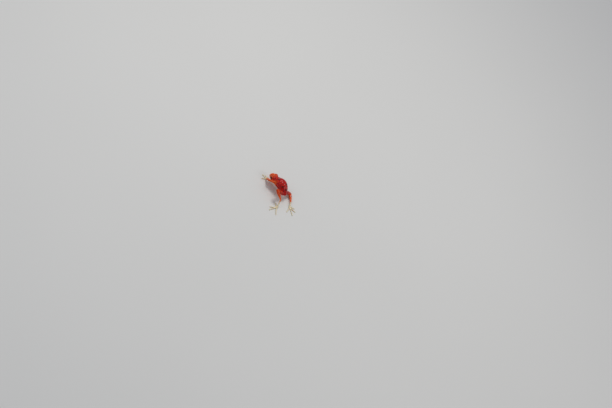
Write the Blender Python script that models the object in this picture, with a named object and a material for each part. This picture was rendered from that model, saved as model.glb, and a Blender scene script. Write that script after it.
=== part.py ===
"""Strawberry poison dart frog, adult, still life-size model standing on a flat floor.

The frog faces -Y, its left side is +X, and +Z is up. Sizes below are in millimetres,
and every finished mesh is scaled to metres. The body is one loft that is parted at the
neck. Each limb is a chain of tubes that share the places of their joints.
"""

import math

import bmesh
import bpy
from mathutils import Matrix, Vector

MM = 0.001

# Gaps between neighbours
JOINT_GAP = 0.3
EYE_GAP = 0.15

# Where the rear end of the body stands, so that the whole frog is centred on the origin
VENT_X = -5.06
VENT_Y = 3.82

# Body sections from rump to snout: forward place and height of the back, forward place
# and height of the belly, half width, squareness (2 is an ellipse), and how far the spine
# bends to the side there (+ is the frog's left)
BODY_SECTIONS = (
    (-0.75, 5.05, -0.35, 3.85, 1.05, 2.0, 0.00),
    (0.30, 6.40, 0.70, 3.25, 2.10, 2.0, -0.05),
    (2.00, 8.45, 2.30, 2.95, 2.85, 2.1, -0.25),
    (4.00, 10.1, 4.40, 2.95, 3.45, 2.1, -0.50),
    (6.20, 11.0, 6.60, 3.05, 3.95, 2.1, -0.70),
    (8.50, 11.1, 8.60, 3.15, 4.15, 2.1, -0.75),
    (10.70, 10.4, 10.30, 3.25, 4.00, 2.1, -0.60),
    (12.30, 9.35, 11.90, 3.40, 3.65, 2.2, -0.35),
    (13.60, 8.50, 13.40, 3.65, 3.45, 2.3, -0.10),
    (15.00, 8.05, 14.80, 3.85, 3.40, 2.4, 0.00),
    (16.40, 7.85, 16.20, 4.00, 3.20, 2.5, 0.05),
    (17.60, 7.50, 17.40, 4.20, 2.70, 2.5, 0.10),
    (18.60, 7.05, 18.45, 4.45, 2.10, 2.5, 0.10),
    (19.30, 6.50, 19.20, 4.75, 1.40, 2.4, 0.10),
)
RUMP_TIP = (-0.95, 4.45)
SNOUT_TIP = (19.65, 5.65)
BODY_SIDES = 30
RINGS_PER_SECTION = 2

# Neck cut: forward place of the plane that parts head from torso
NECK_FORWARD = 13.0

# Head features
EYE_RADIUS = 1.15
EYE_SIDES = 20
EYE_RINGS = 12
EYE_FORWARD = 16.15
EYE_SIDE = 2.35
EYE_HEIGHT = 6.75
LID_THICKNESS = 0.20
LID_OPENING_RADIUS = 1.02
LID_OPENING_DROP = 0.12
LID_OPENING_STRETCH = 1.12
LID_SIDES = 24
LID_RINGS = 14
NOSTRIL_HALF_SIZES = (0.21, 0.24, 0.16)
NOSTRIL_SIDES = 8
NOSTRIL_RINGS = 6
NOSTRIL_FORWARD = 18.85
NOSTRIL_SIDE = 1.42
NOSTRIL_HEIGHT = 6.45
EAR_RADIUS = 0.52
EAR_RIM = 0.09
EAR_RIM_DEPTH = 0.18
EAR_LEAN = 0.32
EAR_STEPS = 16
EAR_RIM_SIDES = 6
EAR_FORWARD = 13.95
EAR_SIDE = 3.32
EAR_HEIGHT = 6.70
MOUTH_FRONT_HEIGHT = 5.1
MOUTH_REAR_HEIGHT = 4.85
MOUTH_REAR_FORWARD = 13.9
MOUTH_DEPTH = 0.28
MOUTH_WIDTH = 0.14
MOUTH_PLATE_WIDTH = 9.0

# Joint places: side (+ is the frog's left), forward, height
HIP = (1.8, 1.4, 4.8)
SHOULDER = (2.8, 11.0, 6.6)
KNEE = {"left": (8.1, 4.3, 8.7), "right": (-8.3, 0.2, 1.7)}
HEEL = {"left": (7.2, -2.3, 4.6), "right": (-3.9, -5.6, 1.4)}
ANKLE = {"left": (11.4, -5.4, 0.9), "right": (0.0, -9.0, 0.8)}
ELBOW = {"left": (4.7, 15.3, 5.1), "right": (-5.6, 8.6, 3.5)}
WRIST = {"left": (1.9, 19.0, 1.1), "right": (-4.6, 13.2, 0.9)}

# Tube radii along each limb piece, evenly spaced from its upper to its lower joint
THIGH_RADII = (1.30, 1.48, 1.42, 1.18, 0.92)
SHANK_RADII = (0.92, 1.12, 1.06, 0.78, 0.60)
TARSUS_RADII = (0.60, 0.56, 0.50, 0.52)
UPPER_ARM_RADII = (0.95, 0.95, 0.86, 0.76)
FOREARM_RADII = (0.76, 0.88, 0.74, 0.52)
LIMB_SIDES = 14
LIMB_RINGS = 9
CAP_SHARES = (0.2, 0.55, 0.85)

# Hands and feet: palm half length, half width, half height, height of its middle, and how
# far the middle lies ahead of the joint
FOOT_PALM = (1.30, 0.92, 0.50, 0.46, 0.35)
HAND_PALM = (1.05, 0.92, 0.48, 0.44, 0.25)
PALM_SIDES = 16
PALM_RINGS = 10

# Digits: compass heading in degrees (0 is the frog's left, -90 is forward), length from
# the joint, radius of the end disc, and sideways bend in degrees
FOOT_DIGITS = {
    "left": (
        (-146, 3.0, 0.38, -10),
        (-108, 4.6, 0.42, -12),
        (-26, 6.2, 0.46, -4),
        (-11, 8.0, 0.50, 6),
        (36, 7.2, 0.47, 10),
    ),
    "right": (
        (160, 3.1, 0.38, 10),
        (134, 4.7, 0.42, 12),
        (104, 6.0, 0.46, 8),
        (72, 7.6, 0.50, -6),
        (34, 6.2, 0.47, -14),
    ),
}
HAND_DIGITS = {
    "left": (
        (-158, 3.2, 0.42, -8),
        (-126, 3.8, 0.48, -8),
        (-92, 4.7, 0.58, 4),
        (-34, 4.0, 0.53, 10),
    ),
    "right": (
        (-30, 3.2, 0.42, 8),
        (-62, 3.8, 0.48, 6),
        (-94, 4.8, 0.58, -4),
        (-136, 3.9, 0.53, -12),
    ),
}
DIGIT_SIDES = 8
DIGIT_HEIGHT = 0.28
DIGIT_ARCH = 0.12
DIGIT_SHAFT_RADIUS = 0.31
DIGIT_NECK_RADIUS = 0.29

# Along a digit's shaft: share of its length, and its radius there
SHAFT_STOPS = ((0.0, 0.42), (0.3, 0.35), (0.55, 0.32))
# Along its neck: distances back from the tip, in disc radii
NECK_STOPS = (2.7, 2.0)
# Along its end disc: distance back from the tip in disc radii, half width in disc radii,
# and half height in shaft radii
DISC_STOPS = ((1.55, 0.78, 1.0), (1.0, 1.0, 1.0), (0.45, 0.83, 0.9), (0.1, 0.40, 0.6))

# Skin colours: linear red, green, blue and roughness
BACK_RED = ((0.62, 0.02, 0.012), 0.32)
HEAD_RED = ((0.72, 0.07, 0.015), 0.30)
LIMB_ORANGE = ((0.68, 0.12, 0.03), 0.34)
FOOT_CREAM = ((0.72, 0.62, 0.42), 0.40)
EYE_BLACK = ((0.01, 0.008, 0.008), 0.06)


def frog_point(side, forward, height):
    """Turn side, forward and height into a place in the model's frame."""
    return Vector((VENT_X + side, VENT_Y - forward, height))


def clear_scene():
    for item in list(bpy.data.objects):
        bpy.data.objects.remove(item, do_unlink=True)


def make_material(name, finish):
    colour, roughness = finish
    material = bpy.data.materials.new(name)
    material.use_nodes = True
    shader = material.node_tree.nodes["Principled BSDF"]
    shader.inputs["Base Color"].default_value = (*colour, 1.0)
    shader.inputs["Roughness"].default_value = roughness
    shader.inputs["Metallic"].default_value = 0.0
    material.diffuse_color = (*colour, 1.0)
    return material


def object_from_bmesh(name, bm):
    mesh = bpy.data.meshes.new(name)
    bmesh.ops.recalc_face_normals(bm, faces=bm.faces)
    bm.to_mesh(mesh)
    bm.free()
    item = bpy.data.objects.new(name, mesh)
    bpy.context.scene.collection.objects.link(item)
    return item


def smooth_steps(rows, steps):
    """Pass a smooth curve through rows of numbers, with extra rows between them."""
    result = []
    last = len(rows) - 1
    for index in range(last):
        before = rows[max(index - 1, 0)]
        start = rows[index]
        end = rows[index + 1]
        after = rows[min(index + 2, last)]
        for step in range(steps):
            t = step / steps
            row = []
            for a, b, c, d in zip(before, start, end, after):
                row.append(
                    0.5
                    * (
                        2 * b
                        + (c - a) * t
                        + (2 * a - 5 * b + 4 * c - d) * t * t
                        + (3 * b - a - 3 * c + d) * t * t * t
                    )
                )
            result.append(tuple(row))
    result.append(tuple(rows[-1]))
    return result


def value_at(values, share):
    """Read a smooth value at a share from 0 to 1 along evenly spaced values."""
    place = min(max(share, 0.0), 1.0) * (len(values) - 1)
    index = min(int(place), len(values) - 2)
    t = place - index
    t = t * t * (3 - 2 * t)
    return values[index] * (1 - t) + values[index + 1] * t


def loft(name, rings, first_pole, last_pole):
    """Skin closed rings of equal count and close both ends on a pole."""
    bm = bmesh.new()
    rows = [[bm.verts.new(point) for point in ring] for ring in rings]
    count = len(rows[0])
    for lower, upper in zip(rows, rows[1:]):
        for index in range(count):
            following = (index + 1) % count
            bm.faces.new((lower[index], lower[following], upper[following], upper[index]))
    for row, pole in ((rows[0], first_pole), (rows[-1], last_pole)):
        tip = bm.verts.new(pole)
        for index in range(count):
            bm.faces.new((row[index], row[(index + 1) % count], tip))
    return object_from_bmesh(name, bm)


def superellipse(angle, squareness):
    across = math.sin(angle)
    along = math.cos(angle)
    power = 2.0 / squareness
    return (
        math.copysign(abs(across) ** power, across),
        math.copysign(abs(along) ** power, along),
    )


def body_loft(name, swell):
    """Loft head and torso in one, grown outwards by swell."""
    rings = []
    for row in smooth_steps(BODY_SECTIONS, RINGS_PER_SECTION):
        back_forward, back_height, belly_forward, belly_height, half_width, squareness, bend = row
        back = frog_point(bend, back_forward, back_height)
        belly = frog_point(bend, belly_forward, belly_height)
        middle = (back + belly) / 2
        rise = back - middle
        rise += rise.normalized() * swell
        side = Vector((half_width + swell, 0, 0))
        ring = []
        for step in range(BODY_SIDES):
            across, along = superellipse(2 * math.pi * step / BODY_SIDES, squareness)
            ring.append(middle + side * across + rise * along)
        rings.append(ring)
    rump = frog_point(0, RUMP_TIP[0] - swell, RUMP_TIP[1])
    snout = frog_point(0, SNOUT_TIP[0] + swell, SNOUT_TIP[1])
    return loft(name, rings, rump, snout)


def cross_axes(direction):
    """Give two directions square to a limb, the first as level as it can be."""
    level = direction.cross(Vector((0, 0, 1)))
    if level.length < 0.001:
        level = Vector((1, 0, 0))
    level.normalize()
    return level, level.cross(direction).normalized()


def limb_tube(name, start, end, radii):
    """Make a tapered tube from joint to joint with a round cap over each joint."""
    direction = (end - start).normalized()
    level, upright = cross_axes(direction)
    length = (end - start).length
    stops = []
    for share in CAP_SHARES:
        turn = share * math.pi / 2
        stops.append((-radii[0] * math.cos(turn), radii[0] * math.sin(turn)))
    for step in range(LIMB_RINGS):
        share = step / (LIMB_RINGS - 1)
        stops.append((share * length, value_at(radii, share)))
    for share in reversed(CAP_SHARES):
        turn = share * math.pi / 2
        stops.append((length + radii[-1] * math.cos(turn), radii[-1] * math.sin(turn)))
    rings = []
    for along, radius in stops:
        middle = start + direction * along
        ring = []
        for step in range(LIMB_SIDES):
            angle = 2 * math.pi * step / LIMB_SIDES
            ring.append(middle + level * math.cos(angle) * radius + upright * math.sin(angle) * radius)
        rings.append(ring)
    return loft(name, rings, start - direction * radii[0], end + direction * radii[-1])


def ellipsoid(name, middle, half_sizes, segments, rings, heading=0.0):
    bm = bmesh.new()
    bmesh.ops.create_uvsphere(bm, u_segments=segments, v_segments=rings, radius=1.0)
    bmesh.ops.scale(bm, vec=half_sizes, verts=bm.verts)
    turn = Matrix.Rotation(math.radians(heading), 3, "Z")
    bmesh.ops.rotate(bm, cent=(0, 0, 0), matrix=turn, verts=bm.verts)
    bmesh.ops.translate(bm, vec=middle, verts=bm.verts)
    return object_from_bmesh(name, bm)


def digit(name, joint, heading, length, disc_radius, bend):
    """Make one finger or toe that lies on the floor and ends in its round disc."""
    profile = []
    for share, radius in SHAFT_STOPS:
        profile.append((share * length, radius, radius))
    for back in NECK_STOPS:
        profile.append((length - back * disc_radius, DIGIT_NECK_RADIUS, DIGIT_SHAFT_RADIUS))
    for back, width, height in DISC_STOPS:
        along = length - back * disc_radius
        profile.append((along, width * disc_radius, height * DIGIT_SHAFT_RADIUS))
    rings = []
    for along, half_width, half_height in profile:
        middle, direction = digit_place(joint, heading, length, bend, along)
        level = Vector((-direction.y, direction.x, 0))
        ring = []
        for step in range(DIGIT_SIDES):
            angle = 2 * math.pi * (step + 0.5) / DIGIT_SIDES
            lift = Vector((0, 0, math.sin(angle) * half_height))
            ring.append(middle + level * math.cos(angle) * half_width + lift)
        rings.append(ring)
    root, direction = digit_place(joint, heading, length, bend, 0.0)
    tip, tip_direction = digit_place(joint, heading, length, bend, length)
    return loft(name, rings, root - direction * SHAFT_STOPS[0][1], tip)


def digit_place(joint, heading, length, bend, along):
    """Give the middle line of a digit and its direction at a distance from the palm."""
    share = along / length
    turned = math.radians(heading + bend * (share - 0.3))
    direction = Vector((math.cos(turned), math.sin(turned), 0))
    lift = DIGIT_HEIGHT + DIGIT_ARCH * math.sin(math.pi * min(max(share, 0.0), 1.0))
    place = Vector((joint.x, joint.y, lift)) + direction * along
    return place, direction


def apply_modifiers(item):
    graph = bpy.context.evaluated_depsgraph_get()
    mesh = bpy.data.meshes.new_from_object(item.evaluated_get(graph))
    item.modifiers.clear()
    item.data = mesh


def cut_with(item, cutters):
    """Subtract the cutters from a piece and remove them."""
    for cutter in cutters:
        modifier = item.modifiers.new("cut", "BOOLEAN")
        modifier.operation = "DIFFERENCE"
        modifier.object = cutter
        apply_modifiers(item)
    for cutter in cutters:
        bpy.data.objects.remove(cutter, do_unlink=True)


def join_pieces(item, pieces):
    """Fuse closed pieces with the first one and remove them."""
    group = bpy.data.collections.new("pieces")
    bpy.context.scene.collection.children.link(group)
    for piece in pieces:
        bpy.context.scene.collection.objects.unlink(piece)
        group.objects.link(piece)
    modifier = item.modifiers.new("join", "BOOLEAN")
    modifier.operation = "UNION"
    modifier.operand_type = "COLLECTION"
    modifier.collection = group
    apply_modifiers(item)
    for piece in pieces:
        bpy.data.objects.remove(piece, do_unlink=True)
    bpy.data.collections.remove(group)


def keep_side(item, point, normal):
    """Cut a piece by a plane, drop what lies along the normal, and close the cut."""
    bm = bmesh.new()
    bm.from_mesh(item.data)
    geometry = bm.verts[:] + bm.edges[:] + bm.faces[:]
    cut = bmesh.ops.bisect_plane(
        bm, geom=geometry, dist=0.0001, plane_co=point, plane_no=normal, clear_outer=True
    )
    edges = [part for part in cut["geom_cut"] if isinstance(part, bmesh.types.BMEdge)]
    bmesh.ops.holes_fill(bm, edges=edges, sides=0)
    bmesh.ops.recalc_face_normals(bm, faces=bm.faces)
    bm.to_mesh(item.data)
    bm.free()


def keep_largest(item):
    """Keep only the largest closed surface of a piece."""
    bm = bmesh.new()
    bm.from_mesh(item.data)
    waiting = set(bm.faces)
    shells = []
    while waiting:
        shell = set()
        frontier = [waiting.pop()]
        while frontier:
            face = frontier.pop()
            shell.add(face)
            for edge in face.edges:
                for neighbour in edge.link_faces:
                    if neighbour in waiting:
                        waiting.remove(neighbour)
                        frontier.append(neighbour)
        shells.append(shell)
    shells.sort(key=lambda shell: sum(face.calc_area() for face in shell))
    for shell in shells[:-1]:
        bmesh.ops.delete(bm, geom=list(shell), context="FACES")
    bm.to_mesh(item.data)
    bm.free()


def finish(item, material):
    """Clean a piece, scale it to metres, shade it and give it its material."""
    keep_largest(item)
    bm = bmesh.new()
    bm.from_mesh(item.data)
    bmesh.ops.remove_doubles(bm, verts=bm.verts, dist=0.002)
    bmesh.ops.dissolve_degenerate(bm, edges=bm.edges, dist=0.001)
    bmesh.ops.triangulate(bm, faces=bm.faces)
    bmesh.ops.scale(bm, vec=(MM, MM, MM), verts=bm.verts)
    bmesh.ops.recalc_face_normals(bm, faces=bm.faces)
    bm.to_mesh(item.data)
    bm.free()
    item.data.materials.clear()
    item.data.materials.append(material)
    item.data.shade_smooth()
    item.data.set_sharp_from_angle(angle=math.radians(50))


def eye_middle(sign):
    return frog_point(sign * EYE_SIDE, EYE_FORWARD, EYE_HEIGHT)


def add_lids(head):
    """Raise a lid round each eye, hollow its seat and open it to the side."""
    lids = []
    cutters = []
    for sign in (1, -1):
        middle = eye_middle(sign)
        seat = EYE_RADIUS + EYE_GAP
        outer = seat + LID_THICKNESS
        lids.append(ellipsoid("lid", middle, (outer, outer, outer), LID_SIDES, LID_RINGS))
        cutters.append(ellipsoid("seat", middle, (seat, seat, seat), LID_SIDES, LID_RINGS))
        opening = middle + Vector((sign * outer, 0, -LID_OPENING_DROP))
        half_sizes = (outer, LID_OPENING_RADIUS * LID_OPENING_STRETCH, LID_OPENING_RADIUS)
        cutters.append(ellipsoid("opening", opening, half_sizes, LID_SIDES, LID_RINGS))
    join_pieces(head, lids)
    cut_with(head, cutters)


def cut_mouth(head):
    """Cut the mouth line as a groove of even depth round the muzzle."""
    core = body_loft("core", -MOUTH_DEPTH)
    front = frog_point(0, SNOUT_TIP[0] + 1, MOUTH_FRONT_HEIGHT)
    rear = frog_point(0, MOUTH_REAR_FORWARD, MOUTH_REAR_HEIGHT)
    bm = bmesh.new()
    bmesh.ops.create_cube(bm, size=1.0)
    bmesh.ops.scale(bm, vec=(MOUTH_PLATE_WIDTH, (front - rear).length, MOUTH_WIDTH), verts=bm.verts)
    slope = math.atan2(rear.z - front.z, rear.y - front.y)
    bmesh.ops.rotate(bm, cent=(0, 0, 0), matrix=Matrix.Rotation(slope, 3, "X"), verts=bm.verts)
    bmesh.ops.translate(bm, vec=(front + rear) / 2, verts=bm.verts)
    plate = object_from_bmesh("mouth", bm)
    cut_with(plate, [core])
    cut_with(head, [plate])


def cut_nostrils_and_ears(head):
    cutters = []
    for sign in (1, -1):
        nostril = frog_point(sign * NOSTRIL_SIDE, NOSTRIL_FORWARD, NOSTRIL_HEIGHT)
        cutters.append(ellipsoid("nostril", nostril, NOSTRIL_HALF_SIZES, NOSTRIL_SIDES, NOSTRIL_RINGS))
        cutters.append(ear_ring(sign))
    cut_with(head, cutters)


def ear_ring(sign):
    """Make the ring that cuts the groove round the eardrum."""
    rings = []
    middle = frog_point(sign * EAR_SIDE, EAR_FORWARD, EAR_HEIGHT)
    bm = bmesh.new()
    for step in range(EAR_STEPS):
        angle = 2 * math.pi * step / EAR_STEPS
        outward = Vector((0, math.cos(angle), math.sin(angle)))
        ring = []
        for side in range(EAR_RIM_SIDES):
            turn = 2 * math.pi * side / EAR_RIM_SIDES
            reach = EAR_RADIUS + EAR_RIM * math.cos(turn)
            offset = outward * reach
            offset.x = EAR_RIM_DEPTH * math.sin(turn) - sign * EAR_LEAN * offset.z
            ring.append(bm.verts.new(middle + offset))
        rings.append(ring)
    for step in range(EAR_STEPS):
        here = rings[step]
        following = rings[(step + 1) % EAR_STEPS]
        for side in range(EAR_RIM_SIDES):
            other = (side + 1) % EAR_RIM_SIDES
            bm.faces.new((here[side], here[other], following[other], following[side]))
    return object_from_bmesh("ear", bm)


def make_head_and_torso():
    head = body_loft("head", 0)
    torso = body_loft("torso", 0)
    forward = Vector((0, -1, 0))
    neck = frog_point(0, NECK_FORWARD, 0)
    keep_side(torso, neck - forward * JOINT_GAP / 2, forward)
    keep_side(head, neck + forward * JOINT_GAP / 2, -forward)
    add_lids(head)
    cut_mouth(head)
    cut_nostrils_and_ears(head)
    return head, torso


def part_at_joint(upper, lower, before, joint, after):
    """Part two limb pieces by the plane that halves the angle between them."""
    normal = ((joint - before).normalized() + (after - joint).normalized()).normalized()
    keep_side(upper, joint - normal * JOINT_GAP / 2, normal)
    keep_side(lower, joint + normal * JOINT_GAP / 2, -normal)


def palm_heading(digits):
    """Point the palm half way between its two outermost digits."""
    return (digits[0][0] + digits[-1][0]) / 2


def make_palm(name, joint, palm, digits, swell):
    half_length, half_width, half_height, height, lead = palm
    heading = palm_heading(digits)
    turned = math.radians(heading)
    middle = Vector((joint.x + lead * math.cos(turned), joint.y + lead * math.sin(turned), height))
    half_sizes = (half_length + swell, half_width + swell, half_height + swell)
    return ellipsoid(name, middle, half_sizes, PALM_SIDES, PALM_RINGS, heading)


def make_extremity(name, joint, palm, digits):
    """Join a palm with its digits and cut the underside flat at the floor."""
    item = make_palm(name, joint, palm, digits, 0)
    pieces = []
    for heading, length, disc_radius, bend in digits:
        pieces.append(digit("digit", joint, heading, length, disc_radius, bend))
    join_pieces(item, pieces)
    keep_side(item, Vector((0, 0, 0)), Vector((0, 0, -1)))
    return item


def side_point(table, side):
    return frog_point(*table[side])


def make_hind_leg(side, sign):
    hip = frog_point(sign * HIP[0], HIP[1], HIP[2])
    knee = side_point(KNEE, side)
    heel = side_point(HEEL, side)
    ankle = side_point(ANKLE, side)
    thigh = limb_tube("thigh_" + side, hip, knee, THIGH_RADII)
    shank = limb_tube("shank_" + side, knee, heel, SHANK_RADII)
    tarsus = limb_tube("tarsus_" + side, heel, ankle, TARSUS_RADII)
    part_at_joint(thigh, shank, hip, knee, heel)
    part_at_joint(shank, tarsus, knee, heel, ankle)
    cut_with(thigh, [body_loft("clear", JOINT_GAP)])
    cut_with(tarsus, [make_palm("clear", ankle, FOOT_PALM, FOOT_DIGITS[side], JOINT_GAP)])
    foot = make_extremity("foot_" + side, ankle, FOOT_PALM, FOOT_DIGITS[side])
    return (thigh, shank), (tarsus, foot)


def make_arm(side, sign):
    shoulder = frog_point(sign * SHOULDER[0], SHOULDER[1], SHOULDER[2])
    elbow = side_point(ELBOW, side)
    wrist = side_point(WRIST, side)
    upper_arm = limb_tube("upper_arm_" + side, shoulder, elbow, UPPER_ARM_RADII)
    forearm = limb_tube("forearm_" + side, elbow, wrist, FOREARM_RADII)
    part_at_joint(upper_arm, forearm, shoulder, elbow, wrist)
    cut_with(upper_arm, [body_loft("clear", JOINT_GAP)])
    palm = make_palm("clear", wrist, HAND_PALM, HAND_DIGITS[side], JOINT_GAP)
    cut_with(forearm, [body_loft("clear", JOINT_GAP), palm])
    hand = make_extremity("hand_" + side, wrist, HAND_PALM, HAND_DIGITS[side])
    return upper_arm, forearm, hand


def main():
    clear_scene()
    back_red = make_material("back_red", BACK_RED)
    head_red = make_material("head_red", HEAD_RED)
    limb_orange = make_material("limb_orange", LIMB_ORANGE)
    foot_cream = make_material("foot_cream", FOOT_CREAM)
    eye_black = make_material("eye_black", EYE_BLACK)
    head, torso = make_head_and_torso()
    finish(head, head_red)
    finish(torso, back_red)
    for side, sign in (("left", 1), ("right", -1)):
        half_sizes = (EYE_RADIUS, EYE_RADIUS, EYE_RADIUS)
        eye = ellipsoid("eye_" + side, eye_middle(sign), half_sizes, EYE_SIDES, EYE_RINGS)
        finish(eye, eye_black)
        leg_upper, leg_lower = make_hind_leg(side, sign)
        upper_arm, forearm, hand = make_arm(side, sign)
        for item in (*leg_upper, upper_arm, forearm):
            finish(item, limb_orange)
        for item in (*leg_lower, hand):
            finish(item, foot_cream)


main()
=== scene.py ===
import math
import random

import bmesh
import bpy
import numpy as np
from mathutils import Matrix, Vector, noise


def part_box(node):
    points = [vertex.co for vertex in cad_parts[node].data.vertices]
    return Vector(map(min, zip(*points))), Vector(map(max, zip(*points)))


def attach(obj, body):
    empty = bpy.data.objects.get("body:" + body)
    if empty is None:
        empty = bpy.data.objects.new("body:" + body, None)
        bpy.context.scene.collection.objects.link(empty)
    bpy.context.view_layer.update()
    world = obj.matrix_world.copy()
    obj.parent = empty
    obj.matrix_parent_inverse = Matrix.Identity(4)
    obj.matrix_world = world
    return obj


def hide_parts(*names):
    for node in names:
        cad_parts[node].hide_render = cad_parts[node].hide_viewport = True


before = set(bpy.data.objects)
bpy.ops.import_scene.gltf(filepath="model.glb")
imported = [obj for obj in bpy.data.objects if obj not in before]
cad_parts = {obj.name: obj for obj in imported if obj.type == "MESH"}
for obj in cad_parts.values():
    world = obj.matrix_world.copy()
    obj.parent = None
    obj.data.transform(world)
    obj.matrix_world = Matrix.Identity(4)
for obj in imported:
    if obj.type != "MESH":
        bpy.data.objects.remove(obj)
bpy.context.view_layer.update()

# The frog is shaped in millimetres and brought to metres when its pieces are done.
# It faces -Y, its left side is +X and +Z is up, as in the frame.
MM = 0.001
SIDES = (("left", 1), ("right", -1))

# Eyes, placed from the frame: each is a ball in a seat cut a little smaller, under round
# lids that open to the side
EYE_RADIUS = 1.15
EYE_SIDE = 2.35
EYE_FORWARD = 16.15
EYE_HEIGHT = 6.75
LID_RADIUS = 1.45
LID_OPENING = (LID_RADIUS, 1.16, 1.0)
SEAT_SHARE = 0.99
eye_low, eye_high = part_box("eye_left")
left_eye = (eye_low + eye_high) / (2 * MM)
VENT_X = left_eye.x - EYE_SIDE
VENT_Y = left_eye.y + EYE_FORWARD

# Body sections from rump to snout: forward place and height of the back, forward place
# and height of the belly, half width, squareness (2 is an ellipse), and how far the spine
# bends to the side there (+ is the frog's left)
BODY_SECTIONS = (
    (-0.75, 5.05, -0.35, 3.85, 1.05, 2.0, 0.00),
    (0.30, 6.40, 0.70, 3.25, 2.10, 2.0, -0.05),
    (2.00, 8.45, 2.30, 2.95, 2.85, 2.1, -0.25),
    (4.00, 10.1, 4.40, 2.95, 3.45, 2.1, -0.50),
    (6.20, 11.0, 6.60, 3.05, 3.95, 2.1, -0.70),
    (8.50, 11.1, 8.60, 3.15, 4.15, 2.1, -0.75),
    (10.70, 10.4, 10.30, 3.25, 4.00, 2.1, -0.60),
    (12.30, 9.35, 11.90, 3.40, 3.65, 2.2, -0.35),
    (13.60, 8.50, 13.40, 3.65, 3.45, 2.3, -0.10),
    (15.00, 8.05, 14.80, 3.85, 3.40, 2.4, 0.00),
    (16.40, 7.85, 16.20, 4.00, 3.20, 2.5, 0.05),
    (17.60, 7.50, 17.40, 4.20, 2.70, 2.5, 0.10),
    (18.60, 7.05, 18.45, 4.45, 2.10, 2.5, 0.10),
    (19.30, 6.50, 19.20, 4.75, 1.40, 2.4, 0.10),
)
RUMP_TIP = (-0.95, 4.45)
SNOUT_TIP = (19.65, 5.65)

# Joint places: side (+ is the frog's left), forward, height
HIP = (1.8, 1.4, 4.8)
SHOULDER = (2.8, 11.0, 6.6)
KNEE = {"left": (8.1, 4.3, 8.7), "right": (-8.3, 0.2, 1.7)}
HEEL = {"left": (7.2, -2.3, 4.6), "right": (-3.9, -5.6, 1.4)}
ANKLE = {"left": (11.4, -5.4, 0.9), "right": (0.0, -9.0, 0.8)}
ELBOW = {"left": (4.7, 15.3, 5.1), "right": (-5.6, 8.6, 3.5)}
WRIST = {"left": (1.9, 19.0, 1.1), "right": (-4.6, 13.2, 0.9)}

# Tube radii along each limb piece, evenly spaced from its upper to its lower joint
THIGH_RADII = (1.30, 1.48, 1.42, 1.18, 0.92)
SHANK_RADII = (0.92, 1.12, 1.06, 0.78, 0.60)
TARSUS_RADII = (0.60, 0.56, 0.50, 0.52)
UPPER_ARM_RADII = (0.95, 0.95, 0.86, 0.76)
FOREARM_RADII = (0.76, 0.88, 0.74, 0.52)
LIMB_RINGS = 10
ROUND_END = (0.25, 0.6, 0.85)

# Hands and feet: palm half length, half width, half height, height of its middle, and how
# far the middle lies ahead of the joint
FOOT_PALM = (1.30, 0.92, 0.50, 0.46, 0.35)
HAND_PALM = (1.05, 0.92, 0.48, 0.44, 0.25)

# Digits: compass heading in degrees (0 is the frog's left, -90 is forward), length from
# the joint, radius of the end disc, and sideways bend in degrees
FOOT_DIGITS = {
    "left": (
        (-146, 3.0, 0.38, -10),
        (-108, 4.6, 0.42, -12),
        (-26, 6.2, 0.46, -4),
        (-11, 8.0, 0.50, 6),
        (36, 7.2, 0.47, 10),
    ),
    "right": (
        (160, 3.1, 0.38, 10),
        (134, 4.7, 0.42, 12),
        (104, 6.0, 0.46, 8),
        (72, 7.6, 0.50, -6),
        (34, 6.2, 0.47, -14),
    ),
}
HAND_DIGITS = {
    "left": (
        (-158, 3.2, 0.42, -8),
        (-126, 3.8, 0.48, -8),
        (-92, 4.7, 0.58, 4),
        (-34, 4.0, 0.53, 10),
    ),
    "right": (
        (-30, 3.2, 0.42, 8),
        (-62, 3.8, 0.48, 6),
        (-94, 4.8, 0.58, -4),
        (-136, 3.9, 0.53, -12),
    ),
}
DIGIT_HEIGHT = 0.28
DIGIT_ARCH = 0.12
DIGIT_ROOT = 0.42
DIGIT_NECK = 0.29

# Profile of a digit from its root: share of its length, half width and half height
SHAFT_STOPS = ((0.0, DIGIT_ROOT, DIGIT_ROOT), (0.16, 0.37, 0.38), (0.31, 0.32, 0.33),
               (0.41, 0.37, 0.37), (0.51, 0.31, 0.32))
# Its neck and end disc: way back from the tip in disc radii, half width as a share of the
# neck's or the disc's, and half height
NECK_STOPS = ((2.8, 1.06, 0.33), (2.1, 0.92, 0.27))
DISC_STOPS = ((1.6, 0.84, 0.28), (1.2, 1.08, 0.29), (0.8, 1.12, 0.28), (0.4, 0.98, 0.26),
              (0.15, 0.66, 0.21))

# The skin's mesh: coarse while it is cut, fine when it is sculpted
CUT_VOXEL = 0.13
SKIN_VOXEL = 0.118
FLOOR_CUT = 0.004  # height at which the undersides of hands and feet are cut flat
TINY = 0.001  # a length below this counts as none


def frog_point(side, forward, height):
    """Turn side, forward and height into a place in the frame, in millimetres."""
    return Vector((VENT_X + side, VENT_Y - forward, height))


def side_point(table, side):
    return frog_point(*table[side])


def one_side(point, sign):
    """Give a point of the frog's left, or its mirror point on the right."""
    return frog_point(sign * point[0], point[1], point[2])


def eye_middle(sign):
    return frog_point(sign * EYE_SIDE, EYE_FORWARD, EYE_HEIGHT)


# Working by hand: what is selected, edited and applied


def deselect_everything():
    if bpy.context.object and bpy.context.object.mode != "OBJECT":
        bpy.ops.object.mode_set(mode="OBJECT")
    bpy.ops.object.select_all(action="DESELECT")


def work_on(piece):
    deselect_everything()
    piece.select_set(True)
    bpy.context.view_layer.objects.active = piece


def apply_modifier(piece, kind, **settings):
    work_on(piece)
    modifier = piece.modifiers.new(kind.lower(), kind)
    for name, value in settings.items():
        setattr(modifier, name, value)
    bpy.ops.object.modifier_apply(modifier=modifier.name)


def settle(piece):
    """Put a piece's place, turn and size into its mesh."""
    work_on(piece)
    bpy.ops.object.transform_apply(location=True, rotation=True, scale=True)


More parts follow.
